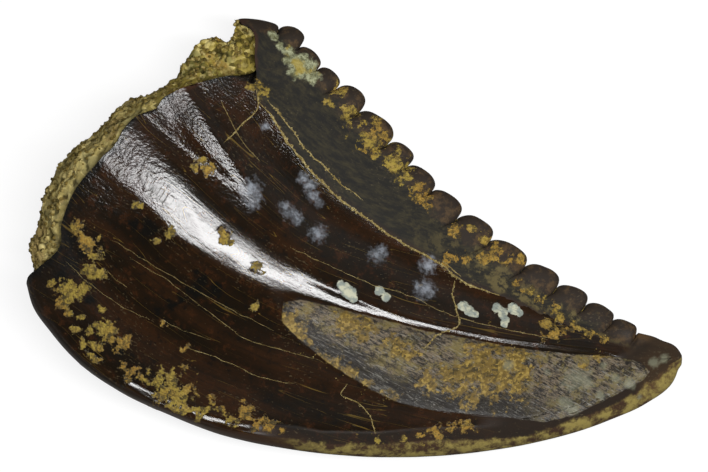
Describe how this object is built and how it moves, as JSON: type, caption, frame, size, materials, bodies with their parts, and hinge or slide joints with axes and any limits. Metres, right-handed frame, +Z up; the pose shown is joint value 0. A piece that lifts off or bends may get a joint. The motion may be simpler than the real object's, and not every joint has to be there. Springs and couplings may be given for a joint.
{
  "type": "fossil tooth",
  "caption": "Curved fossil tooth of a small hunting dinosaur, lying on its side, with a serrated back edge, a worn facet and sandstone in its hollow base.",
  "frame": {"origin": "middle of the footprint of the tooth lying on its side, on the surface that it rests on", "axes": "+X from the base towards the tip, +Y towards the back edge with the denticles, +Z up through the tooth's thickness"},
  "size_m": [0.01, 0.0067, 0.0024],
  "materials": {
    "enamel": "glossy dark brown fossil enamel, charcoal towards the serrated edge, with ochre stains, pale cracks and a dull worn facet",
    "sandstone": "matt, granular, olive to ochre yellow"
  },
  "bodies": {
    "root": {"tooth_crown": "enamel", "sandstone": "sandstone"}
  },
  "joints": []
}
